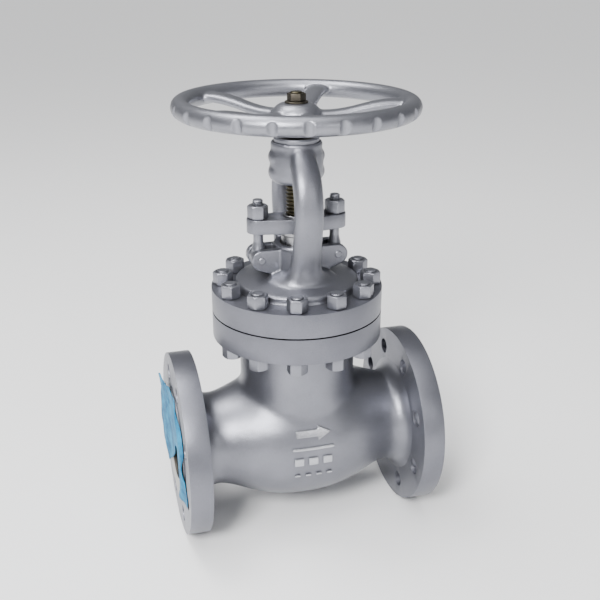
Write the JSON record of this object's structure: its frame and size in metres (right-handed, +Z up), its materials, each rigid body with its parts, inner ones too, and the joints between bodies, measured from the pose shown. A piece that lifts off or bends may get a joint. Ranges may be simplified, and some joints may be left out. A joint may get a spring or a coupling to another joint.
{
  "type": "globe valve",
  "caption": "Flanged globe valve with bolted bonnet, outside screw and yoke, hinged-bolt gland and spoked handwheel that lifts a disc off its seat",
  "frame": {"origin": "where the pipe axis and the stem axis cross, in the middle of the body", "axes": "+X along the pipe axis from the inlet to the outlet, +Z up along the stem to the handwheel, -Y to the front with the flow arrow"},
  "size_m": [0.356, 0.316, 0.605],
  "materials": {
    "cast_paint": "silver aluminium paint over sand-cast steel, semi-gloss",
    "wheel_paint": "silver paint, glossier than the body",
    "fastener_paint": "silver paint over hexagon fasteners",
    "gland_steel": "turned steel, dull",
    "bare_trim": "machined stainless trim",
    "stem_steel": "oiled steel, olive tint",
    "wheel_nut_steel": "dull brown-grey unpainted steel",
    "packing_graphite": "pressed graphite",
    "gasket_black": "dark graphite-filled gasket"
  },
  "bodies": {
    "valve_body": {"body": "cast_paint", "seat_ring": "bare_trim", "bonnet_gasket": "gasket_black", "bonnet": "cast_paint", "backseat_bushing": "bare_trim", "packing_ring_1": "packing_graphite", "packing_ring_2": "packing_graphite", "packing_ring_3": "packing_graphite", "packing_ring_4": "packing_graphite", "eyebolt_left": "fastener_paint", "eyebolt_right": "fastener_paint", "eyebolt_pin_left": "fastener_paint", "eyebolt_pin_right": "fastener_paint", "yoke_nut": "stem_steel", "bonnet_stud_01": "fastener_paint", "bonnet_stud_02": "fastener_paint", "bonnet_stud_03": "fastener_paint", "bonnet_stud_04": "fastener_paint", "bonnet_stud_05": "fastener_paint", "bonnet_stud_06": "fastener_paint", "bonnet_stud_07": "fastener_paint", "bonnet_stud_08": "fastener_paint", "bonnet_stud_09": "fastener_paint", "bonnet_stud_10": "fastener_paint", "bonnet_stud_11": "fastener_paint", "bonnet_stud_12": "fastener_paint", "bonnet_nut_top_01": "fastener_paint", "bonnet_nut_top_02": "fastener_paint", "bonnet_nut_top_03": "fastener_paint", "bonnet_nut_top_04": "fastener_paint", "bonnet_nut_top_05": "fastener_paint", "bonnet_nut_top_06": "fastener_paint", "bonnet_nut_top_07": "fastener_paint", "bonnet_nut_top_08": "fastener_paint", "bonnet_nut_top_09": "fastener_paint", "bonnet_nut_top_10": "fastener_paint", "bonnet_nut_top_11": "fastener_paint", "bonnet_nut_top_12": "fastener_paint", "bonnet_nut_bottom_01": "fastener_paint", "bonnet_nut_bottom_02": "fastener_paint", "bonnet_nut_bottom_03": "fastener_paint", "bonnet_nut_bottom_04": "fastener_paint", "bonnet_nut_bottom_05": "fastener_paint", "bonnet_nut_bottom_06": "fastener_paint", "bonnet_nut_bottom_07": "fastener_paint", "bonnet_nut_bottom_08": "fastener_paint", "bonnet_nut_bottom_09": "fastener_paint", "bonnet_nut_bottom_10": "fastener_paint", "bonnet_nut_bottom_11": "fastener_paint", "bonnet_nut_bottom_12": "fastener_paint"},
    "disc_assembly": {"disc": "bare_trim", "disc_nut": "bare_trim"},
    "stem_assembly": {"stem": "stem_steel", "handwheel": "wheel_paint", "handwheel_washer": "wheel_nut_steel", "handwheel_nut": "wheel_nut_steel"},
    "gland_assembly": {"gland": "gland_steel", "gland_flange": "cast_paint"},
    "gland_nut_left_body": {"gland_nut_left": "fastener_paint"},
    "gland_nut_right_body": {"gland_nut_right": "fastener_paint"}
  },
  "joints": [
    {"name": "stem_lift", "type": "slide", "parent": "valve_body", "child": "disc_assembly", "axis": [0, 0, 1], "range_m": [0, 0.03]},
    {"name": "handwheel_turn", "type": "hinge", "parent": "disc_assembly", "child": "stem_assembly", "pos_m": [0, 0, 0.46], "axis": [0, 0, 1], "range_deg": [0, 2160]},
    {"name": "gland_lift", "type": "slide", "parent": "valve_body", "child": "gland_assembly", "axis": [0, 0, 1], "range_m": [0, 0.008]},
    {"name": "gland_nut_left_turn", "type": "hinge", "parent": "gland_assembly", "child": "gland_nut_left_body", "pos_m": [-0.0525, 0, 0.3266], "axis": [0, 0, 1], "range_deg": [0, 1440]},
    {"name": "gland_nut_right_turn", "type": "hinge", "parent": "gland_assembly", "child": "gland_nut_right_body", "pos_m": [0.0525, 0, 0.3266], "axis": [0, 0, 1], "range_deg": [0, 1440]}
  ],
  "couplings": [
    {"joint": "stem_lift", "follows": "handwheel_turn", "m_per_rad": 0.000795},
    {"joint": "gland_nut_left_turn", "follows": "gland_lift", "rad_per_m": 3141.6},
    {"joint": "gland_nut_right_turn", "follows": "gland_lift", "rad_per_m": 3141.6}
  ]
}
